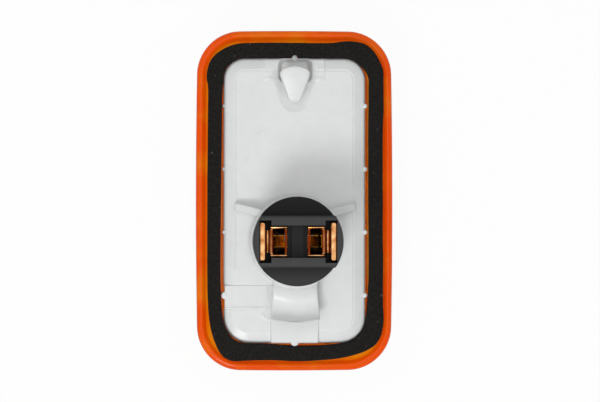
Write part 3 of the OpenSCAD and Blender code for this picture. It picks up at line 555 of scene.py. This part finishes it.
# Holder tube: stands up from the same moulding. Three stretches of rim under its mouth hold the lugs of the
# bulb holder, and stops beside them end its quarter turn.
fillet_r, lip_r = 0.75, 0.3
spin = np.linspace(0, 2 * np.pi, 193)[:-1]
fillet = np.linspace(0, np.pi / 2, 8)
lip = np.linspace(0, np.pi / 2, 6)
tube_profile = np.concatenate([
    np.stack([tube_r + fillet_r * (1 - np.sin(fillet)), back_z - 0.02 + fillet_r * (1 - np.cos(fillet))], 1),
    np.stack([tube_r - lip_r * (1 - np.cos(lip)), tube_z - lip_r * (1 - np.sin(lip))], 1),
    [[bore_r + 0.1, tube_z], [bore_r, tube_z - 0.1], [bore_r, plate_z - 1], [tube_r, plate_z - 1],
     [tube_r + fillet_r, plate_z + 0.2]]])


def turned(profile, angles, centre_y=0.0):
    """A profile of radius and height carried round an upright axis: (r cos t, r sin t, z)."""
    r, z = profile[:, 0], profile[:, 1]
    return np.stack([np.cos(angles)[:, None] * r, centre_y + np.sin(angles)[:, None] * r,
                     np.repeat(z[None], len(angles), 0)], -1)


points = turned(tube_profile, spin, holder_y)
make_piece("holder_tube", points, grid_faces(*points.shape[:2], round_rows=True), white, "lamp",
           "housing")


def joined(parts):
    """Several grids of points as one array with their faces, each numbered after the one before."""
    points, faces, count = [], [], 0
    for grid, quads in parts:
        points.append(grid.reshape(-1, 3))
        faces.append(quads + count)
        count += grid.reshape(-1, 3).shape[0]
    return np.concatenate(points), np.concatenate(faces)


def sector(r1, r2, z1, z2, middle, sweep):
    """A block bent round the tube's axis, closed at both ends by collapsing its section to its middle."""
    loop = np.array([[r1, z1], [r2, z1], [r2, z2], [r1, z2]])
    angles = np.radians(np.linspace(middle - sweep / 2, middle + sweep / 2, 24))
    ring = turned(loop, angles, holder_y)
    start, end = (part.mean(1, keepdims=True).repeat(4, 1) for part in (ring[:1], ring[-1:]))
    ring = np.concatenate([start, ring, end])
    return ring, grid_faces(*ring.shape[:2])


lug_angles, lug_turn, rim_sweep, stop_sweep, stop_ahead = (30, 150, 270), 45, 90, 12, 22
rim_parts = []
for a in lug_angles:
    rim_parts.append(sector(neck_bore_r, bore_r + 0.1, rim_z, tube_z, a + lug_turn + 60, rim_sweep))
for a in lug_angles:
    for stop_angle in (a - stop_ahead, a + lug_turn + stop_ahead):
        rim_parts.append(sector(neck_bore_r + 0.2, bore_r + 0.2, rim_z - 1.9, rim_z - 0.4, stop_angle,
                                stop_sweep))
points, faces = joined(rim_parts)
make_piece("bayonet_rim", points, faces, white, "lamp", "housing")

# Hook: a tongue of the same moulding that slips behind the edge of the panel. It rises from a rounded root in
# its pocket to a wide free end with a gap under it.
bar_outline = outline_template(5, 16, 8)
v = np.linspace(0, np.pi, 61)
hook_y = hook_root + (hook_free - hook_root) * (1 - np.cos(v)) / 2


def half_width(y, circles):
    """Half the width, at each y, of the outline round some circles: over all directions t, the least of
    (reach - y * sin t) / cos t, where the reach is the most of x * cos t + y * sin t + r over the circles."""
    t = np.radians(np.linspace(-89, 89, 713))
    reach = np.max([cx * np.cos(t) + cy * np.sin(t) + r for cx, cy, r in circles], axis=0)
    return np.maximum(((reach - y[:, None] * np.sin(t)) / np.cos(t)).min(1), 0)


hook_half = half_width(hook_y, [(0, hook_root + hook_root_r, hook_root_r),
                                (hook_side_x, hook_side_y, hook_side_r),
                                (0, hook_free - hook_end_r, hook_end_r)])
hook_half[[0, -1]] = 0
# Heights over the tray's back, at distances from the root
from_root = hook_y - hook_root
hook_top = back_z + np.interp(from_root, [0, 0.15, 0.55, 1.15, 1.95, 2.95, 5.15, 6.35, 6.95, 7.35, 7.55, 7.6],
                              [-0.1, 0.9, 1.6, 1.85, 2, 2.25, 2.75, 2.95, 2.98, 2.85, 2.6, 2.2])
hook_under = back_z + np.interp(from_root, [0, 2.05, 2.25, 2.55, 3.15, 6.95, 7.35, 7.6],
                                [-0.8, -0.8, 0.2, 0.9, 1.3, 1.3, 1.4, 1.9])
hook_top = np.maximum(np.convolve(np.pad(hook_top, 2, "edge"), np.ones(5) / 5, "valid"), hook_under + 0.02)
half_t = (hook_top - hook_under) / 2
p, q = rounded_ring(bar_outline, hook_half, half_t, np.minimum(np.minimum(0.42, hook_half), half_t))
middle_z = (hook_top + hook_under)[:, None] / 2
points = np.stack([p, np.repeat(hook_y[:, None], p.shape[1], 1), middle_z + q], -1)
crown = 0.3
points[..., 2] += crown * np.clip(1 - (p / (hook_w / 2)) ** 2, 0, 1) * (q > 0) - crown
make_piece("panel_hook", points, grid_faces(*p.shape), white, "lamp", "housing", crease=60)

# Latch strap: a springy strap of the same moulding. It leaves the tube, dips to its pad and curls up again,
# and gives when the lamp is pushed into the panel.
curl_x, curl_z, curl_r, strap_t, strap_cut = 12.78, 21.6, 4.2, 1.5, 16.17
curl = np.linspace(-8, 160, 70)
phi = np.radians(np.concatenate([curl, [162.5, 164.8, 166.5, 167.6, 168.2]]))
blunt = np.concatenate([0 * curl, [0.02, 0.06, 0.14, 0.26, 0.4]])
r = curl_x - curl_r * np.cos(phi)
half_lat = np.interp(r, [tube_r, 15.9], [4.3, 4.85]) - blunt
half_t = np.full(len(phi), strap_t / 2)
p, q = rounded_ring(outline_template(5, 30, 4), half_lat, half_t, np.minimum(0.35, half_t))
radial = np.minimum(r[:, None] + q * np.cos(phi)[:, None], strap_cut)
upward = (q - curl_r) * np.sin(phi)[:, None]
points = np.stack([p, holder_y - np.sqrt(radial ** 2 - p ** 2), curl_z + upward], -1)
points = np.concatenate([points[:1] * 0 + points[0].mean(0), points, points[:1] * 0 + points[-1].mean(0)])
make_piece("latch_strap", points, grid_faces(*points.shape[:2]), white, "lamp", "housing",
           crease=60)

# Gusset ribs: two fins of the same moulding that brace the tube against the tray's sides.
fin_angle, fin_y, fin_half_t = np.radians(15), 5.35, 0.8
s = np.concatenate([[-1.2, -1.2], np.linspace(-1.15, 5.5, 18), [5.65, 5.8, 5.88, 5.9, 5.9]])
top = np.interp(s, [-1.2, 5.5, 5.9], [19.0, 16.55, 16.25])
shrink = np.concatenate([[0], np.ones(19), [0.98, 0.9, 0.75, 0.5, 0]])
half_h = (top - back_z + 0.5) / 2
half_across = fin_half_t * shrink
p, q = rounded_ring(bar_outline, half_across, half_h * (shrink > 0), np.minimum(0.3, half_across))
rib = []
for side_sign in (-1, 1):
    px = side_sign * (tube_r - 2.6 + s[:, None] * np.cos(fin_angle) - p * np.sin(fin_angle))
    py = holder_y + fin_y + s[:, None] * np.sin(fin_angle) + p * np.cos(fin_angle)
    rib.append((np.stack([px, py, (back_z - 0.5 + half_h)[:, None] + q], -1), grid_faces(*p.shape)))
points, faces = joined(rib)
make_piece("gusset_ribs", points, faces, white, "lamp", "housing", crease=60)

# Centring ribs: small half-round ribs of the same moulding that set the tray in the mouth of the lens. Their
# sizes differ a little, as on a real moulding.
nub_profile = np.array([[0, 0], [1, 0], [1, -0.3], [0.92, -0.12], [0.7, -0.02], [0, 0]])
ribs = []
for px, py, size, nub_top in nubs:
    heights = np.where(np.arange(6) < 2, skirt_z, nub_top)
    grid = turned(nub_profile * [size, 1] + heights[:, None] * [0, 1], spin[::8])
    ribs.append((grid + [px, py, 0], grid_faces(*grid.shape[:2], round_rows=True, round_cols=False)))
points, faces = joined(ribs)
make_piece("centring_ribs", points, faces, white, "lamp", "housing")

# Bulb holder: black plastic, one moulding with a disc, a grip bar round the plug cavity, and a neck with
# three bayonet lugs. It keeps its CAD shape, with its edges rounded as a mould leaves them. Painted sheen:
# its specular level is raised at the bar's face and towards the disc's latch side, so these read lighter.
bar_low_z, bar_top_z, sheen_start_y, sheen_end_y = 30.2, 35.3, -11.5, -15.5
black, tree, shader = moulded_plastic("black_plastic", "0F0F10", "171718", rough_low=0.3, rough_high=0.46,
                                      bump_depth=0.00004, wave_share=0.5)
place = add_node(tree, "TexCoord").outputs["Object"]
spot = add_node(tree, "SeparateXYZ", Vector=place).outputs
# Painted sheen: the specular level rises towards the bar's top and towards the disc's latch side
bar_face_sheen = graded(tree, spot["Z"], bar_low_z * MM, bar_top_z * MM, high=0.38)
disc_side_sheen = graded(tree, spot["Y"], sheen_start_y * MM, sheen_end_y * MM, low=0.17, high=0.43)
give(tree, shader, Specular_IOR_Level=calculated(tree, "ADD", bar_face_sheen, disc_side_sheen))


def dress_node(name, material, bevel=0.0):
    """Gives a CAD node its material and, where asked, edges rounded over that many millimetres."""
    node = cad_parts[name]
    node.data.materials.clear()
    node.data.materials.append(material)
    if bevel:
        weld = node.modifiers.new("weld", "WELD")
        weld.merge_threshold = 2e-6
        rounding = node.modifiers.new("rounding", "BEVEL")
        rounding.width = bevel * MM
        rounding.segments = 2
        rounding.limit_method = "ANGLE"
        rounding.angle_limit = np.radians(35)
        rounding.harden_normals = False
        rounding.use_clamp_overlap = True


dress_node("bulb_holder", black, bevel=0.18)

# Painted shade: thin black sheets close the wells beside the bulb's base, under the feet of the clips, and
# keep them dark
sheet_in, sheet_out, sheet_x, sheet_z, sheet_t = 1.16, 3.2, 5.6, 23.3, 0.06
closing = np.array([0, 1, 1, 0])
half_x, half_y = sheet_x * closing, (sheet_out - sheet_in) / 2 * closing
p, q = rounded_ring(outline_template(2, 2, 2), half_x, half_y, np.minimum(0.1, half_y))
heights = sheet_z + sheet_t / 2 * np.array([-1, -1, 1, 1])[:, None]
shade_sheets = []
for side_sign in (-1, 1):
    grid = np.stack([p, q + holder_y + side_sign * (sheet_in + sheet_out) / 2, heights + 0 * p], -1)
    shade_sheets.append((grid, grid_faces(*p.shape)))
points, faces = joined(shade_sheets)
make_piece("well_shade_sheets", points, faces, black, "bulb_unit", None)

# Gasket: a flat ring of black rubber between the disc and the tube, which keeps water out.
rubber, tree, shader = moulded_plastic("black_rubber", "101011", "18181A", rough_low=0.6, rough_high=0.75,
                                       bump_depth=0.00003, wave_share=0.3, specular=0.3)
dress_node("holder_gasket", rubber)

# Contacts: two strips of bronze, pressed and folded. The blades take the plug, and the clips hold the bulb.
# The metal is brushed along y, and its colour is darkened with painted shade deep in the holder and close
# beside the bulb.
shade_x, shade_half_y, shade_z = (5.3, 5.0), (2.6, 2.2), (30.7, 30.2)
bronze, tree, shader = new_material("contact_bronze")
place = add_node(tree, "TexCoord").outputs["Object"]
tarnish = noise(tree, place, 700, 5)
tone = colour_ramp(tree, tarnish, (0.35, "B8743C"), (0.65, "F8C088"))
brushed = add_node(tree, "Mapping", Vector=place, Scale=(1, 0.08, 1)).outputs["Vector"]
spot = add_node(tree, "SeparateXYZ", Vector=place).outputs
# Painted shade: dark brown mixed into the colour close beside the bulb and deep in the holder
from_middle_x = calculated(tree, "ABSOLUTE", spot["X"])
from_middle_y = calculated(tree, "ABSOLUTE", calculated(tree, "ADD", spot["Y"], -holder_y * MM))
shade_near_bulb = calculated(tree, "MULTIPLY", graded(tree, from_middle_x, shade_x[0] * MM, shade_x[1] * MM),
                       graded(tree, from_middle_y, shade_half_y[0] * MM, shade_half_y[1] * MM))
deep = graded(tree, spot["Z"], shade_z[0] * MM, shade_z[1] * MM)
painted_shade = calculated(tree, "MAXIMUM", shade_near_bulb, deep)
give(tree, shader, Base_Color=mixed(tree, painted_shade, tone, linear("6E2A0C")), Metallic=1.0,
     Roughness=graded(tree, tarnish, 0.0, 1.0, low=0.12, high=0.28),
     Normal=bumped(tree, noise(tree, brushed, 9000), 0.00001))
dress_node("contact_left", bronze, bevel=0.06)
dress_node("contact_right", bronze, bevel=0.06)

# The blades end in square rolled tips, which stand a little higher than the strip
blade_x, blade_t, blade_w, blade_top = 6.9, 1.05, 7.4, 34.3
tip_l, tip_r, tip_corner_r = 3.0, 0.13, 0.35
down = np.linspace(np.pi / 2, 0, 5)
tip_in = np.concatenate([[blade_t / 2], tip_r * (1 - np.cos(down)), [0, blade_t / 2]])
tip_z = np.concatenate([[blade_top], blade_top - tip_r * (1 - np.sin(down)), [blade_top - tip_l] * 2])
p, q = rounded_ring(outline_template(5, 3, 14), blade_t / 2 - tip_in, blade_w / 2 - tip_in,
                    np.minimum(tip_corner_r, blade_t / 2 - tip_in))
tips = []
for side_sign in (-1, 1):
    grid = np.stack([p + side_sign * blade_x, q + holder_y, np.repeat(tip_z[:, None], p.shape[1], 1)], -1)
    tips.append((grid, grid_faces(*p.shape)))
points, faces = joined(tips)
make_piece("blade_tips", points, faces, bronze, "bulb_unit", None)

# Bulb: a wedge-base bulb of clear glass, pinched flat at its base, with its two lead wires folded over the
# base and a coiled tungsten filament between the posts. The pinch is tinted dark brown as painted shade.
pinch_low_z, pinch_top_z = 25.5, 27.5
glass, tree, shader = new_material("clear_glass")
place = add_node(tree, "TexCoord").outputs["Object"]
height_z = add_node(tree, "SeparateXYZ", Vector=place).outputs["Z"]
# Painted shade: dark brown in the glass's colour and gloss from the pinch upwards
pinch_shade_share = graded(tree, height_z, pinch_low_z * MM, pinch_top_z * MM)
pinch_shade_colour = mixed(tree, pinch_shade_share, (1, 1, 1, 1), linear("6A3A1C"))
give(tree, shader, Base_Color=pinch_shade_colour, Specular_Tint=pinch_shade_colour, Roughness=0.02, IOR=1.5, Transmission_Weight=1.0,
     Specular_IOR_Level=0.2, Normal=bumped(tree, noise(tree, place, 300), 0.00004, strength=0.3))
dress_node("bulb_glass", glass)

wire, tree, shader = new_material("lead_wire")
place = add_node(tree, "TexCoord").outputs["Object"]
give(tree, shader, Base_Color=colour_ramp(tree, noise(tree, place, 1500), (0, "8C8780"), (1, "C9C4BC")),
     Metallic=1.0, Roughness=0.35)
dress_node("bulb_lead_left", wire)
dress_node("bulb_lead_right", wire)

coil_r, wire_r, coil_l, turns, filament_z = 0.24, 0.045, 4.2, 26, 13.25
t = np.linspace(0, 1, turns * 14 + 1)
angle = 2 * np.pi * turns * t
centre = np.stack([coil_l * (t - 0.5), coil_r * np.cos(angle), coil_r * np.sin(angle)], -1)
out = np.stack([0 * t, np.cos(angle), np.sin(angle)], -1)
w = np.linspace(0, 2 * np.pi, 7)[:-1]
size = wire_r * np.concatenate([[0], np.ones(len(t) - 2), [0]])
points = centre[:, None] + size[:, None, None] * (
    np.cos(w)[None, :, None] * out[:, None] + np.sin(w)[None, :, None] * np.array([1.0, 0, 0]))
points += [0, holder_y, filament_z]
tungsten, tree, shader = new_material("tungsten")
give(tree, shader, Base_Color=linear("6A6A6E"), Metallic=1.0, Roughness=0.4)
make_piece("filament_coil", points, grid_faces(*points.shape[:2]), tungsten, "bulb_unit",
           "bulb_filament")

# Stage: a white table that the lamp lies on, lens down, a broad lamp overhead and a small one from the lower
# left, and a camera at the photograph's height and angle. To the camera, and in gloss and glass, the table
# shows as even white paper, and from below it is clear.
floor_mesh = bpy.data.meshes.new("table_top")
floor_mesh.from_pydata([(-3, -3, 0), (3, -3, 0), (3, 3, 0), (-3, 3, 0)], [], [(0, 1, 2, 3)])
floor = bpy.data.objects.new("table_top", floor_mesh)
bpy.context.scene.collection.objects.link(floor)
floor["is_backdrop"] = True


def mixed_shaders(tree, share, first, second):
    """A Mix Shader node that goes from the first shader to the second."""
    mix = tree.nodes.new("ShaderNodeMixShader")
    for socket, source in zip(mix.inputs, (share, first, second)):
        tree.links.new(source, socket)
    return mix.outputs["Shader"]


paper, tree, shader = new_material("white_table")
give(tree, shader, Base_Color=(0.86, 0.86, 0.86, 1), Roughness=0.9)
glow = add_node(tree, "Emission", Strength=1.0)
clear = add_node(tree, "BsdfTransparent")
ray = add_node(tree, "LightPath").outputs
by_glass = calculated(tree, "MAXIMUM", ray["Is Glossy Ray"], ray["Is Transmission Ray"])
seen = calculated(tree, "MAXIMUM", calculated(tree, "MULTIPLY", ray["Is Camera Ray"], 0.95), by_glass)
above_side = mixed_shaders(tree, seen, shader.outputs["BSDF"], glow.outputs["Emission"])
below = add_node(tree, "NewGeometry").outputs["Backfacing"]
both_sides = mixed_shaders(tree, below, above_side, clear.outputs["BSDF"])
give(tree, tree.nodes["Material Output"], Surface=both_sides)
floor_mesh.materials.append(paper)

world = bpy.data.worlds.new("studio")
bpy.context.scene.world = world
world.use_nodes = True
tree = world.node_tree
seen = add_node(tree, "LightPath").outputs["Is Camera Ray"]
give(tree, tree.nodes["Background"], Color=(1, 1, 1, 1), Strength=graded(tree, seen, 0.0, 1.0, low=0.3))


def soft_lamp(name, place, aim, size, watts):
    """A square lamp at a place, turned towards a point."""
    data = bpy.data.lights.new(name, "AREA")
    data.size, data.energy = size, watts
    lamp = bpy.data.objects.new(name, data)
    lamp.location = place
    toward = Vector(aim) - Vector(place)
    lamp.rotation_euler = toward.to_track_quat("-Z", "Y").to_euler()
    bpy.context.scene.collection.objects.link(lamp)


lamp_aim = (0, 0, 0.015)
soft_lamp("key", (-0.14, -0.32, 0.52), lamp_aim, size=0.18, watts=1.25)
soft_lamp("over", (-0.05, 0.0, 0.8), lamp_aim, size=1.1, watts=3.5)

camera_distance = 0.590
camera_data = bpy.data.cameras.new("camera")
camera_data.sensor_width = 36
camera_data.lens = 176
camera_data.clip_start, camera_data.clip_end = 0.01, 10
camera = bpy.data.objects.new("camera", camera_data)
aim = Vector((0.00125, -0.00005, 0.010))
tilt_left, tilt_down = np.radians(2.15), np.radians(0.25)
back = Vector((-np.sin(tilt_left), -np.sin(tilt_down), np.cos(tilt_left))).normalized()
camera.location = aim + back * camera_distance
camera.rotation_mode = "QUATERNION"
right = Vector((0, 1, 0)).cross(back).normalized()
camera.rotation_quaternion = Matrix((right, back.cross(right), back)).transposed().to_quaternion()
bpy.context.scene.collection.objects.link(camera)
bpy.context.scene.camera = camera
bpy.context.scene.view_settings.view_transform = "Standard"

low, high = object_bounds()
